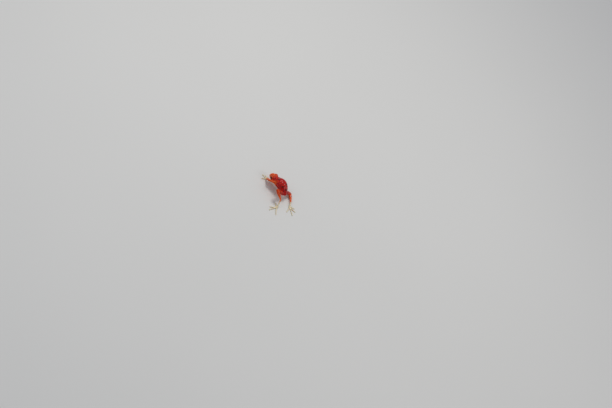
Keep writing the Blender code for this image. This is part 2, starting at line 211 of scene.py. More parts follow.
def square_up(piece, rings):
    """Fill out the rings of a fresh ball towards a square by their squareness."""
    levels = sorted({round(vert.co.z, 4) for vert in piece.data.vertices})
    for vert in piece.data.vertices:
        squareness = rings[levels.index(round(vert.co.z, 4))]
        across = math.hypot(vert.co.x, vert.co.y)
        if across > TINY:
            for axis in (0, 1):
                share = vert.co[axis] / across
                vert.co[axis] = math.copysign(abs(share) ** (2 / squareness), share) * across


def drawn_ball(name, rings, sides=24, squareness=None):
    """Add a ball and draw its rings out along +Z: each ring is its middle (x, y, z), half
    width, half depth and tilt about X. The first and last are poles and have no size."""
    deselect_everything()
    bpy.ops.mesh.primitive_uv_sphere_add(segments=sides, ring_count=len(rings) - 1, radius=1.0)
    piece = bpy.context.object
    piece.name = name
    if squareness:
        square_up(piece, squareness)
    bpy.ops.object.mode_set(mode="EDIT")
    bpy.ops.mesh.select_mode(type="VERT")
    mesh = bmesh.from_edit_mesh(piece.data)
    levels = sorted({round(vert.co.z, 4) for vert in mesh.verts})
    level_of = {vert.index: levels.index(round(vert.co.z, 4)) for vert in mesh.verts}
    for number, (middle, half_width, half_depth, tilt) in enumerate(rings):
        mesh = bmesh.from_edit_mesh(piece.data)
        for vert in mesh.verts:
            vert.select_set(level_of[vert.index] == number)
        bmesh.update_edit_mesh(piece.data)
        height = levels[number]
        bpy.ops.transform.translate(value=(middle[0], middle[1], middle[2] - height))
        across = math.sqrt(max(1.0 - height * height, 0.0))
        if half_width:
            bpy.ops.transform.resize(
                value=(half_width / across, half_depth / across, 1.0), center_override=middle
            )
        if tilt:
            bpy.ops.transform.rotate(value=-tilt, orient_axis="X", center_override=middle)
    bpy.ops.object.mode_set(mode="OBJECT")
    return piece


def lay_along(piece, start, direction):
    """Turn a piece's +Z to a direction, keep its X level, and set its origin on start."""
    level = direction.cross(Vector((0, 0, 1)))
    if level.length < TINY:
        level = Vector((1, 0, 0))
    level.normalize()
    upright = direction.cross(level)
    turn = Matrix((level, upright, direction)).transposed().to_4x4()
    piece.matrix_world = Matrix.Translation(start) @ turn
    settle(piece)
    return piece


def smooth_rows(rows, steps):
    """Pass a smooth curve through rows of numbers, with extra rows between them."""
    table = np.array(rows, float)
    padded = np.vstack([table[:1], table, table[-1:]])
    made = []
    for index in range(len(table) - 1):
        a, b, c, d = padded[index : index + 4]
        for part in range(steps):
            t = part / steps
            curve = 2 * b + (c - a) * t + (2 * a - 5 * b + 4 * c - d) * t**2
            made.append(0.5 * (curve + (3 * b - a - 3 * c + d) * t**3))
    made.append(table[-1])
    return made


def value_at(values, share):
    """Read a smooth value at a share from 0 to 1 along evenly spaced values."""
    place = min(max(share, 0.0), 1.0) * (len(values) - 1)
    index = min(int(place), len(values) - 2)
    t = place - index
    t = t * t * (3 - 2 * t)
    return values[index] * (1 - t) + values[index + 1] * t


def make_torso():
    """Draw the torso and head out of one ball, ring by ring from the rump to the snout."""
    rings = [((0, RUMP_TIP[1], RUMP_TIP[0]), 0, 0, 0)]
    squareness = [2.0]
    for row in smooth_rows(BODY_SECTIONS, 3):
        back_forward, back, belly_forward, belly, half_width, square, bend = row
        middle = (bend, (back + belly) / 2, (back_forward + belly_forward) / 2)
        rise = (back - belly) / 2
        run = (back_forward - belly_forward) / 2
        rings.append((middle, half_width, math.hypot(rise, run), math.atan2(run, rise)))
        squareness.append(square)
    rings.append(((0, SNOUT_TIP[1], SNOUT_TIP[0]), 0, 0, 0))
    squareness.append(2.0)
    torso = drawn_ball("torso", rings, 40, squareness)
    turn = Matrix(((1, 0, 0), (0, 0, -1), (0, 1, 0))).to_4x4()
    torso.matrix_world = Matrix.Translation(frog_point(0, 0, 0)) @ turn
    settle(torso)
    return torso


def make_limb(name, start, end, radii):
    """Draw one limb piece between its joints, with a round end over each."""
    length = (end - start).length
    rings = [((0, 0, -radii[0]), 0, 0, 0)]
    for share in ROUND_END:
        turned = share * math.pi / 2
        half = radii[0] * math.sin(turned)
        rings.append(((0, 0, -radii[0] * math.cos(turned)), half, half, 0))
    for place in range(LIMB_RINGS + 1):
        radius = value_at(radii, place / LIMB_RINGS)
        rings.append(((0, 0, length * place / LIMB_RINGS), radius, radius, 0))
    for share in reversed(ROUND_END):
        turned = share * math.pi / 2
        half = radii[-1] * math.sin(turned)
        rings.append(((0, 0, length + radii[-1] * math.cos(turned)), half, half, 0))
    rings.append(((0, 0, length + radii[-1]), 0, 0, 0))
    return lay_along(drawn_ball(name, rings), start, (end - start).normalized())


def digit_place(joint, heading, length, bend, along):
    share = along / length
    turned = math.radians(heading + bend * (share - 0.3))
    lift = DIGIT_HEIGHT + DIGIT_ARCH * math.sin(math.pi * min(max(share, 0.0), 1.0))
    place = Vector((joint.x, joint.y, lift))
    return place + Vector((math.cos(turned), math.sin(turned), 0)) * along


def make_digit(joint, heading, length, disc, bend):
    """Draw a finger or toe with its knuckles and its round end disc."""
    profile = [(share * length, half_width, height) for share, half_width, height in SHAFT_STOPS]
    for stops, unit in ((NECK_STOPS, DIGIT_NECK), (DISC_STOPS, disc)):
        profile += [(length - back * disc, unit * wide, height) for back, wide, height in stops]
    straight = math.radians(heading)
    ahead = Vector((math.cos(straight), math.sin(straight), 0))
    level = ahead.cross(Vector((0, 0, 1)))

    def local(along):
        offset = digit_place(joint, heading, length, bend, along) - joint
        return (offset.dot(level), -offset.z - joint.z, offset.dot(ahead))

    rings = [((0, -DIGIT_HEIGHT, -DIGIT_ROOT), 0, 0, 0)]
    for along, half_width, half_height in profile:
        rings.append((local(along), half_width, half_height, 0))
    rings.append((local(length), 0, 0, 0))
    ground = Vector((joint.x, joint.y, 0))
    return lay_along(drawn_ball("digit", rings, 16), ground, ahead)


def make_palm(joint, palm, digits):
    half_length, half_width, half_height, height, lead = palm
    heading = math.radians((digits[0][0] + digits[-1][0]) / 2)
    deselect_everything()
    middle = (joint.x + lead * math.cos(heading), joint.y + lead * math.sin(heading), height)
    bpy.ops.mesh.primitive_uv_sphere_add(
        segments=24,
        ring_count=14,
        location=middle,
        rotation=(0, 0, heading),
        scale=(half_length, half_width, half_height),
    )
    palm_piece = bpy.context.object
    settle(palm_piece)
    return palm_piece


def limb_bones():
    """List every limb piece: its node, its joints and its radii."""
    bones = []
    for side, sign in SIDES:
        hip = one_side(HIP, sign)
        shoulder = one_side(SHOULDER, sign)
        knee = side_point(KNEE, side)
        heel = side_point(HEEL, side)
        ankle = side_point(ANKLE, side)
        elbow = side_point(ELBOW, side)
        wrist = side_point(WRIST, side)
        bones.append(("thigh_" + side, hip, knee, THIGH_RADII))
        bones.append(("shank_" + side, knee, heel, SHANK_RADII))
        bones.append(("tarsus_" + side, heel, ankle, TARSUS_RADII))
        bones.append(("upper_arm_" + side, shoulder, elbow, UPPER_ARM_RADII))
        bones.append(("forearm_" + side, elbow, wrist, FOREARM_RADII))
    return bones


def make_flesh():
    """Model every soft form of the frog and join them into one mesh."""
    forms = [make_torso()]
    for name, start, end, radii in limb_bones():
        forms.append(make_limb(name, start, end, radii))
    for side, sign in SIDES:
        for joints, palm, digits in (
            (ANKLE, FOOT_PALM, FOOT_DIGITS[side]),
            (WRIST, HAND_PALM, HAND_DIGITS[side]),
        ):
            joint = side_point(joints, side)
            forms.append(make_palm(joint, palm, digits))
            for heading, length, disc, bend in digits:
                forms.append(make_digit(joint, heading, length, disc, bend))
        forms.append(make_lid_ball(sign))
    deselect_everything()
    for form in forms:
        form.select_set(True)
    bpy.context.view_layer.objects.active = forms[0]
    bpy.ops.object.join()
    flesh = bpy.context.object
    flesh.name = "skin"
    return flesh


def ball(middle, half_sizes, segments=32, rings=20):
    deselect_everything()
    bpy.ops.mesh.primitive_uv_sphere_add(
        segments=segments, ring_count=rings, location=middle, scale=half_sizes
    )
    made = bpy.context.object
    settle(made)
    return made


def make_lid_ball(sign):
    return ball(eye_middle(sign), (LID_RADIUS,) * 3)


def cut_away(piece, cutter):
    apply_modifier(piece, "BOOLEAN", operation="DIFFERENCE", object=cutter, solver="MANIFOLD")
    bpy.data.objects.remove(cutter, do_unlink=True)


def cut_eye_seats(skin):
    """Hollow the seat of each eye and open the lids to the side and a little forward."""
    for sign in (1, -1):
        middle = eye_middle(sign)
        cut_away(skin, ball(middle, (EYE_RADIUS * SEAT_SHARE,) * 3))
        opening = middle + Vector((sign * LID_RADIUS, -0.1, -0.1))
        cut_away(skin, ball(opening, LID_OPENING))


def cut_floor_flats(skin):
    """Flatten the undersides of hands and feet at the floor."""
    work_on(skin)
    bpy.ops.object.mode_set(mode="EDIT")
    bpy.ops.mesh.select_all(action="SELECT")
    bpy.ops.mesh.bisect(
        plane_co=(0, 0, FLOOR_CUT), plane_no=(0, 0, 1), use_fill=True, clear_inner=True
    )
    bpy.ops.object.mode_set(mode="OBJECT")


def read_mesh(piece):
    count = len(piece.data.vertices)
    places = np.empty(count * 3, np.float32)
    piece.data.vertices.foreach_get("co", places)
    normals = np.empty(count * 3, np.float32)
    piece.data.vertex_normals.foreach_get("vector", normals)
    return places.reshape(-1, 3).astype(float), normals.reshape(-1, 3).astype(float)


def write_mesh(piece, places):
    piece.data.vertices.foreach_set("co", places.astype(np.float32).ravel())
    piece.data.update()


def to_point(places, point):
    return np.linalg.norm(places - np.array(point), axis=1)


def to_segment(places, start, end):
    """Give each place's distance from a line between two points and its share along it."""
    start = np.array(start)
    run = np.array(end) - start
    share = np.clip((places - start) @ run / max(run @ run, 1e-9), 0, 1)
    return np.linalg.norm(places - start - share[:, None] * run, axis=1), share


def to_path(places, points):
    """Give each place's distance from a path and its share along the path."""
    best = np.full(len(places), 1e9)
    along = np.zeros(len(places))
    pieces = len(points) - 1
    for index in range(pieces):
        distance, share = to_segment(places, points[index], points[index + 1])
        nearer = distance < best
        best[nearer] = distance[nearer]
        along[nearer] = (index + share[nearer]) / pieces
    return best, along


def hump(distance, width):
    return np.exp(-((distance / width) ** 2))


def step(values, low, high):
    t = np.clip((values - low) / (high - low), 0, 1)
    return t * t * (3 - 2 * t)


def grain(places, size, seed):
    """Smooth noise from -1 to 1 at each place, of one grain size."""
    shift = Vector((seed * 7.3, seed * 3.1, seed * 5.7))
    return np.array([noise.noise(Vector(place) / size + shift) for place in places])


def path_points(rows):
    return [frog_point(*row) for row in rows]


def mirrored(rows, sign):
    return [(sign * side, forward, height) for side, forward, height in rows]


# Relief of the face and back on the frog's left, as lines through (side, forward, height)
MOUTH_LINE = ((0.1, 19.6, 5.1), (1.4, 19.2, 5.08), (2.3, 18.3, 5.04), (2.85, 17.1, 4.98),
              (3.2, 15.7, 4.9), (3.4, 14.5, 4.78), (3.4, 13.8, 4.55))
UPPER_LIP = ((0.1, 19.6, 5.42), (1.4, 19.2, 5.4), (2.3, 18.3, 5.36), (2.95, 16.9, 5.3),
             (3.3, 15.3, 5.2))
SNOUT_RIDGE = ((2.3, 17.3, 7.1), (1.85, 18.2, 6.95), (1.35, 18.9, 6.65))
CHEEK_HOLLOW = ((2.75, 17.2, 6.0), (2.2, 18.1, 5.95))
EAR_FOLD = ((2.9, 15.0, 7.75), (3.1, 14.0, 7.65), (3.5, 13.0, 7.0), (3.85, 12.5, 6.0))
SIDE_FOLD = ((2.6, 13.0, 8.0), (3.0, 10.8, 9.0), (2.7, 8.0, 9.9), (2.2, 5.2, 9.7), (1.6, 2.6, 8.4))
SPINE = ((-0.35, 12.0, 9.5), (-0.65, 10.0, 10.7), (-0.75, 8.0, 11.2), (-0.65, 6.4, 11.0))
TAIL_BONE = ((-0.6, 5.6, 10.9), (-0.4, 3.6, 9.9), (-0.2, 1.8, 8.3), (-0.1, 1.0, 7.3))
BROW_HOLLOW = ((0.05, 15.2, 8.0), (0.05, 16.6, 7.65))
NOSTRIL = (1.45, 18.9, 6.45)
EAR = (3.34, 13.95, 6.7)
SHOULDER_BLADE = (1.5, 10.6, 10.1)
HIP_HUMP = (0.6, 5.0, 10.4)
THROAT = (0.0, 15.2, 3.9)
SHOULDER_ORANGE = (3.4, 11.4, 7.2)

# How high each form stands (- is sunk) and how wide it is: lines and points on both
# sides, and lines on the middle
SIDE_LINES = (
    (MOUTH_LINE, -0.34, 0.15),
    (UPPER_LIP, 0.06, 0.24),
    (SNOUT_RIDGE, 0.16, 0.42),
    (CHEEK_HOLLOW, -0.14, 0.5),
    (EAR_FOLD, 0.14, 0.32),
    (SIDE_FOLD, 0.14, 0.9),
)
SIDE_POINTS = (
    (NOSTRIL, 0.09, 0.34),
    (NOSTRIL, -0.4, 0.15),
    (EAR, -0.12, 0.45),
    (SHOULDER_BLADE, 0.22, 1.3),
    (HIP_HUMP, 0.2, 1.0),
)
MIDDLE_LINES = ((SPINE, -0.14, 0.7), (TAIL_BONE, 0.15, 0.5), (BROW_HOLLOW, -0.14, 0.9))
THROAT_SWELL = (0.14, 1.7)
# Rings round the ear and over the eye: radius, height and width
EAR_RIM = (0.58, 0.09, 0.12)
LID_CREASE = (1.62, -0.05, 0.09)
# Folds across a limb piece, as distances back from its lower joint
LIMB_FOLDS = (0.25, 0.55, 0.8)
FOLD_DEPTH = 0.035
FOLD_WIDTH = 0.09

# Digits: knuckles at shares of the length, and the groove that parts the end disc
KNUCKLES = (0.3, 0.5, 0.7)
KNUCKLE_SWELL = 0.06
KNUCKLE_WIDTH = 0.24
DISC_GROOVE = 0.13
GROOVE_WIDTH = 0.14
GROOVE_REACH = 2.2  # in disc radii back from the tip

# Where the skin is relaxed: round the eye bumps, from and to this distance, and round
# the limb roots
EYE_VALLEY = (1.5, 2.6)
EYE_VALLEY_WEIGHT = 0.3
LIMB_ROOT_REACH = 1.8
LIMB_ROOT_RADIUS = 3.0
LIMB_ROOT_WEIGHT = 0.6
RELAX_ROUNDS = 56


def mesh_links(piece):
    edges = np.empty(len(piece.data.edges) * 2, np.int32)
    piece.data.edges.foreach_get("vertices", edges)
    first, second = edges.reshape(-1, 2).T
    size = len(piece.data.vertices)
    return first, second, np.bincount(first, minlength=size) + np.bincount(second, minlength=size)


def neighbour_mean(values, links):
    first, second, count = links
    total = np.bincount(first, values[second], len(values))
    return (total + np.bincount(second, values[first], len(values))) / count


def soften(places, links, weight, rounds):
    """Relax a shape where its weight is above zero."""
    for _ in range(rounds):
        mean = np.stack([neighbour_mean(places[:, axis], links) for axis in range(3)], axis=1)
        places = places + (mean - places) * weight[:, None]
    return places


def soften_junctions(skin):
    """Round the meeting of eye bumps and head, and of limbs and torso."""
    places, _ = read_mesh(skin)
    weight = np.zeros(len(places))
    inner, outer = EYE_VALLEY
    for sign in (1, -1):
        distance = to_point(places, eye_middle(sign))
        side = (places[:, 0] - eye_middle(sign).x) * sign
        band = step(distance, inner - 0.35, inner + 0.15) * step(-distance, -outer, -outer + 0.5)
        weight = np.maximum(weight, EYE_VALLEY_WEIGHT * band * step(-side, -1.2, -0.5))
    for name, start, end, _ in limb_bones():
        if name.startswith(("thigh", "upper_arm")):
            root = start + (end - start).normalized() * LIMB_ROOT_REACH
            distance = to_point(places, root)
            near = step(-distance, -LIMB_ROOT_RADIUS, -1.4)
            weight = np.maximum(weight, LIMB_ROOT_WEIGHT * near)
    write_mesh(skin, soften(places, mesh_links(skin), weight, RELAX_ROUNDS))


def limb_relief(name, share, around, length):
    """Swell of a limb piece at a share along it and an angle round it (0 is its top)."""
    belly = np.sin(np.pi * share)
    kind = name.rsplit("_", 1)[0]
    along = share * length
    if kind == "thigh":
        relief = 0.16 * belly * np.cos(2 * around) - 0.11 * belly * hump(np.sin(around - 0.5), 0.2)
    elif kind == "shank":
        calf = hump(share - 0.3, 0.2)
        relief = 0.18 * calf * np.cos(around - 2.3) - 0.12 * belly * hump(np.sin(around - 1.2), 0.22)
    elif kind == "forearm":
        relief = 0.1 * hump(share - 0.3, 0.22) * np.cos(2 * around)
        relief -= 0.08 * belly * hump(np.sin(around - 0.8), 0.22)
    else:
        relief = 0.04 * belly * np.cos(2 * around)
    for back in LIMB_FOLDS:
        relief -= FOLD_DEPTH * hump(length - along - back, FOLD_WIDTH)
    return relief


def around_bone(places, start, end):
    """Give each place's angle round a bone, from its upper side."""
    direction = (end - start).normalized()
    level = direction.cross(Vector((0, 0, 1))).normalized()
    upright = level.cross(direction)
    offset = places - np.array(start)
    return np.arctan2(offset @ np.array(level), offset @ np.array(upright))


def sculpt(skin):
    """Raise and sink the skin along its normals where the real one has folds and pits."""
    places, normals = read_mesh(skin)
    raise_by = np.zeros(len(places))
    for sign in (1, -1):
        for line, height, width in SIDE_LINES:
            distance, _ = to_path(places, path_points(mirrored(line, sign)))
            raise_by += height * hump(distance, width)
        for point, height, width in SIDE_POINTS:
            raise_by += height * hump(to_point(places, one_side(point, sign)), width)
        radius, height, width = EAR_RIM
        raise_by += height * hump(to_point(places, one_side(EAR, sign)) - radius, width)
        radius, height, width = LID_CREASE
        above = step(places[:, 2], EYE_HEIGHT + 0.1, EYE_HEIGHT + 0.7)
        raise_by += height * above * hump(to_point(places, eye_middle(sign)) - radius, width)
    for line, height, width in MIDDLE_LINES:
        distance, _ = to_path(places, path_points(line))
        raise_by += height * hump(distance, width)
    height, width = THROAT_SWELL
    raise_by += height * hump(to_point(places, frog_point(*THROAT)), width)
    best = torso_nearness(places)
    limb = np.zeros(len(places))
    for name, start, end, radii in limb_bones():
        distance, share = to_segment(places, start, end)
        distance = distance - max(radii)
        nearer = distance < best
        best = np.minimum(best, distance)
        relief = limb_relief(name, share, around_bone(places, start, end), (end - start).length)
        limb[nearer] = relief[nearer]
    raise_by += limb + digit_relief(places)
    soft = step(places[:, 2], 0.2, 0.8)
    folds = np.array((1.0, 2.6, 0.8))
    raise_by += soft * (0.035 * grain(places, 1.5, 1) + 0.03 * grain(places, 0.5, 2))
    raise_by += soft * 0.03 * np.abs(grain(places * folds, 1.1, 3))
    write_mesh(skin, places + normals * raise_by[:, None])


def digit_relief(places):
    """Swell the knuckles, and split the top of each end disc into a pair of small shields."""
    relief = np.zeros(len(places))
    for line, disc in digit_lines():
        distance, share = to_path(places, line)
        length = 4 * (line[1] - line[0]).length
        for knuckle in KNUCKLES:
            swell = KNUCKLE_SWELL * hump((share - knuckle) * length, KNUCKLE_WIDTH)
            relief += swell * step(-distance, -0.5, -0.42)
        tip = np.array(line[-1])
        back = (np.array(line[-2]) - tip) * GROOVE_REACH * disc
        root = tip + back / (line[-1] - line[-2]).length
        distance, share = to_segment(places * (1, 1, 0), root * (1, 1, 0), tip * (1, 1, 0))
        groove = hump(distance, GROOVE_WIDTH) * step(share, 0.1, 0.4) * step(-share, -1.0, -0.8)
        relief -= DISC_GROOVE * groove * step(places[:, 2], 0.3, 0.45)
    return relief


def torso_middle(row):
    return frog_point(row[6], (row[0] + row[2]) / 2, (row[1] + row[3]) / 2)


def torso_nearness(places):
    """Give each place's distance from the torso, taken as a row of balls in its sections."""
    nearest = np.full(len(places), 9.0)
    for row in BODY_SECTIONS:
        radius = (row[4] + (row[1] - row[3]) / 2) / 2
        nearest = np.minimum(nearest, to_point(places, torso_middle(row)) - radius)
    return nearest


def digit_lines():
    """List every digit's middle line, with the radius of its end disc."""
    lines = []
    for side, _ in SIDES:
        for joints, digits in ((ANKLE, FOOT_DIGITS[side]), (WRIST, HAND_DIGITS[side])):
            joint = side_point(joints, side)
            for heading, length, disc, bend in digits:
                line = [digit_place(joint, heading, length, bend, length * s / 4) for s in range(5)]
                lines.append((line, disc))
    return lines


def store(skin, name, values):
    layer = skin.data.attributes.new(name, "FLOAT", "POINT")
    layer.data.foreach_set("value", values.astype(np.float32))


def spread(skin, values, rounds):
    """Blend a value with its neighbours', so that no colour ends in a hard edge."""
    links = mesh_links(skin)
    for _ in range(rounds):
        values = 0.4 * values + 0.6 * neighbour_mean(values, links)
    return values


# Share of orange at the upper and lower joint of each limb piece, then that of cream
LIMB_TONES = {
    "thigh": (0.05, 0.55, 0.0, 0.0),
    "shank": (0.45, 0.95, 0.0, 0.3),
    "tarsus": (1.0, 1.0, 0.6, 1.0),
    "upper_arm": (0.7, 0.95, 0.0, 0.0),
    "forearm": (0.9, 1.0, 0.0, 0.6),
}
# Half widths by which a place is given to the torso or to a digit
TORSO_REACH = 3.6
DIGIT_REACH = 0.45


def mark_regions(skin):
    """Write where the skin turns from red to orange to cream, and where shade is painted into its
    creases.
    """
    places, normals = read_mesh(skin)
    torso_line = [torso_middle(row) for row in BODY_SECTIONS]
    torso_distance, torso_share = to_path(places, torso_line)
    best = torso_distance / TORSO_REACH
    orange = step(torso_share, 0.55, 0.9) * 0.8
    for sign in (1, -1):
        distance = to_point(places, one_side(SHOULDER_ORANGE, sign))
        orange = np.maximum(orange, 0.85 * hump(distance, 1.9))
    cream = np.zeros(len(places))
    for name, start, end, radii in limb_bones():
        distance, share = to_segment(places, start, end)
        distance = distance / (max(radii) * 1.05)
        nearer = distance < best
        best[nearer] = distance[nearer]
        from_orange, to_orange, from_cream, to_cream = LIMB_TONES[name.rsplit("_", 1)[0]]
        orange[nearer] = (from_orange + (to_orange - from_orange) * share)[nearer]
        cream[nearer] = (from_cream + (to_cream - from_cream) * share**2)[nearer]
    for line, _ in digit_lines():
        distance, _ = to_path(places, line)
        nearer = distance / DIGIT_REACH < best
        best[nearer] = distance[nearer] / DIGIT_REACH
        orange[nearer] = 1.0
        cream[nearer] = 1.0
    # Painted shade: the mouth line, the nostrils, a ring round each ear and the edge of each eye
    # seat are darkened
    crease_shade = np.zeros(len(places))
    for sign in (1, -1):
        distance, _ = to_path(places, path_points(mirrored(MOUTH_LINE, sign)))
        crease_shade += hump(distance, 0.13)
        crease_shade += hump(to_point(places, one_side(NOSTRIL, sign)), 0.16)
        crease_shade += 0.35 * hump(to_point(places, one_side(EAR, sign)) - 0.48, 0.12)
        distance = to_point(places, eye_middle(sign))
        crease_shade += 0.8 * step(distance, EYE_RADIUS + 0.22, EYE_RADIUS + 0.02)
    belly = step(-normals[:, 2], 0.1, 0.8) * (1 - cream)
    store(skin, "orange", spread(skin, orange, 14))
    store(skin, "cream", spread(skin, cream, 8))
    store(skin, "belly", spread(skin, belly, 8))
    store(skin, "crease_shade", np.clip(crease_shade, 0, 1))
    eyes = [to_point(places, eye_middle(sign)) for sign in (1, -1)]
    bare = np.maximum(np.maximum(cream, belly * 2), step(-np.minimum(*eyes), -1.6, -1.5))
    mark_spots(skin, np.maximum(bare, spread(skin, crease_shade, 12) * 4))


# Dark flecks seen on the frog: side, forward, height and half width
SEEN_SPOTS = (
    (-1.4, 5.1, 10.4, 0.84),
    (1.8, 4.9, 9.4, 0.70),
    (0.3, 2.1, 8.45, 0.84),
    (1.2, 10.9, 10.1, 0.70),
    (1.7, 13.9, 8.1, 0.55),
    (1.7, 17.6, 7.3, 0.54),
    (-0.9, 8.2, 11.1, 0.42),
    (-6.4, -2.4, 2.3, 0.42),
)
SPOT_COUNT = 90
SPOT_SPACING = 1.25
SPOT_SIZES = (0.16, 0.36)
SPOT_TRIES = 6000
SPOT_SEED = 11


def mark_spots(skin, bare):
    """Write how far each place lies from the nearest dark fleck, in flecks' half widths."""
    places, _ = read_mesh(skin)
    chosen = [(np.array(frog_point(*spot[:3])), spot[3]) for spot in SEEN_SPOTS]
    dice = random.Random(SPOT_SEED)
    tries = 0
    while len(chosen) < SPOT_COUNT and tries < SPOT_TRIES:
        tries += 1
        index = dice.randrange(len(places))
        size = dice.uniform(*SPOT_SIZES)
        if bare[index] > 0.25:
            continue
        gaps = [np.linalg.norm(places[index] - middle) - other for middle, other in chosen]
        if min(gaps) > SPOT_SPACING * dice.uniform(0.6, 1.3):
            chosen.append((places[index], size))
    nearest = np.full(len(places), 4.0)
    for middle, size in chosen:
        nearest = np.minimum(nearest, to_point(places, middle) / size)
    store(skin, "spot", nearest)


def to_metres(piece):
    work_on(piece)
    piece.scale = (MM, MM, MM)
    settle(piece)


def make_skin():
    skin = make_flesh()
    apply_modifier(skin, "REMESH", mode="VOXEL", voxel_size=CUT_VOXEL)
    apply_modifier(skin, "SMOOTH", factor=0.5, iterations=6)
    cut_eye_seats(skin)
    apply_modifier(skin, "REMESH", mode="VOXEL", voxel_size=SKIN_VOXEL)
    apply_modifier(skin, "SMOOTH", factor=0.5, iterations=3)
    soften_junctions(skin)
    sculpt(skin)
    cut_floor_flats(skin)
    mark_regions(skin)
    work_on(skin)
    bpy.ops.object.shade_smooth()
    skin.data.materials.clear()
    skin.data.materials.append(skin_finish())
    to_metres(skin)
    return skin


# Finishes


class Finish:
    """A material's nodes, with short calls to add and join them."""

    def __init__(self, name):
        self.material = bpy.data.materials.new(name)
        self.material.use_nodes = True
        self.tree = self.material.node_tree
        self.shader = self.tree.nodes["Principled BSDF"]

    def add(self, kind, **settings):
        node = self.tree.nodes.new(kind)
        for name, value in settings.items():
            setattr(node, name, value)
        return node

    def join(self, source, target):
        self.tree.links.new(source, target)

    def attribute(self, name):
        return self.add("ShaderNodeAttribute", attribute_name=name).outputs["Fac"]

    def coordinates(self, scale, offset=(0, 0, 0)):
        place = self.add("ShaderNodeTexCoord")
        mapping = self.add("ShaderNodeMapping")
        mapping.inputs["Location"].default_value = offset
        mapping.inputs["Scale"].default_value = (scale,) * 3
        self.join(place.outputs["Object"], mapping.inputs["Vector"])
        return mapping.outputs["Vector"]

    def noise(self, per_mm, detail=2.0, offset=(0, 0, 0)):
        node = self.add("ShaderNodeTexNoise")
        node.inputs["Scale"].default_value = per_mm
        node.inputs["Detail"].default_value = detail
        self.join(self.coordinates(1 / MM, offset), node.inputs["Vector"])
        return node.outputs["Fac"]

    def cells(self, per_mm):
        node = self.add("ShaderNodeTexVoronoi")
        node.inputs["Scale"].default_value = per_mm
        self.join(self.coordinates(1 / MM), node.inputs["Vector"])
        return node.outputs["Distance"]

    def ramp(self, source, low, high, from_value=0.0, to_value=1.0):
        node = self.add("ShaderNodeMapRange")
        node.interpolation_type = "SMOOTHSTEP"
        for socket, value in (
            ("From Min", low), ("From Max", high), ("To Min", from_value), ("To Max", to_value),
        ):
            node.inputs[socket].default_value = value
        self.join(source, node.inputs["Value"])
        return node.outputs["Result"]

    def sums(self, operation, first, second):
        """Work out a number from two, each a plain number or a socket."""
        node = self.add("ShaderNodeMath", operation=operation)
        for socket, value in zip(node.inputs, (first, second)):
            if isinstance(value, (int, float)):
                socket.default_value = value
            else:
                self.join(value, socket)
        return node.outputs[0]

    def blend(self, share, first, second):
        """Mix two colours by a share."""
        node = self.add("ShaderNodeMix", data_type="RGBA")
        self.join(share, node.inputs["Factor"])
        inputs = [socket for socket in node.inputs if socket.type == "RGBA"]
        for socket, colour in zip(inputs, (first, second)):
            if isinstance(colour, tuple):
                socket.default_value = (*colour, 1.0)
            else:
                self.join(colour, socket)
        return [socket for socket in node.outputs if socket.type == "RGBA"][0]

    def bump(self, height, distance, strength, before=None):
        node = self.add("ShaderNodeBump")
        node.inputs["Distance"].default_value = distance
        node.inputs["Strength"].default_value = strength
        self.join(height, node.inputs["Height"])
        if before:
            self.join(before, node.inputs["Normal"])
        return node.outputs["Normal"]

    def set(self, **values):
        for name, value in values.items():
            self.shader.inputs[name.replace("_", " ")].default_value = value


BACK_RED = (0.58, 0.009, 0.005)
DEEP_RED = (0.38, 0.004, 0.004)
WARM_ORANGE = (0.80, 0.11, 0.013)
BELLY_ORANGE = (0.74, 0.20, 0.06)
CREAM = (0.80, 0.70, 0.48)
TAN = (0.42, 0.27, 0.12)
SPOT_BLACK = (0.012, 0.006, 0.006)
# Painted shade for the mouth line, the nostrils, the rings round the ears and the edges of the eye
# seats
CREASE_SHADE = (0.10, 0.012, 0.008)
IRIS_DARK = (0.014, 0.007, 0.005)
IRIS_BRONZE = (0.07, 0.033, 0.014)
PUPIL_BLACK = (0.002, 0.002, 0.002)
RIM_BLACK = (0.004, 0.003, 0.003)
FLOOR_PALE = (0.70, 0.70, 0.69)
FLOOR_LIGHT = (0.74, 0.74, 0.73)

# In eye radii: the pupil's place ahead of the eye's middle, half width and half height
PUPIL_AHEAD = 0.12
PUPIL_HALF_WIDTH = 0.46
PUPIL_HALF_HEIGHT = 0.34


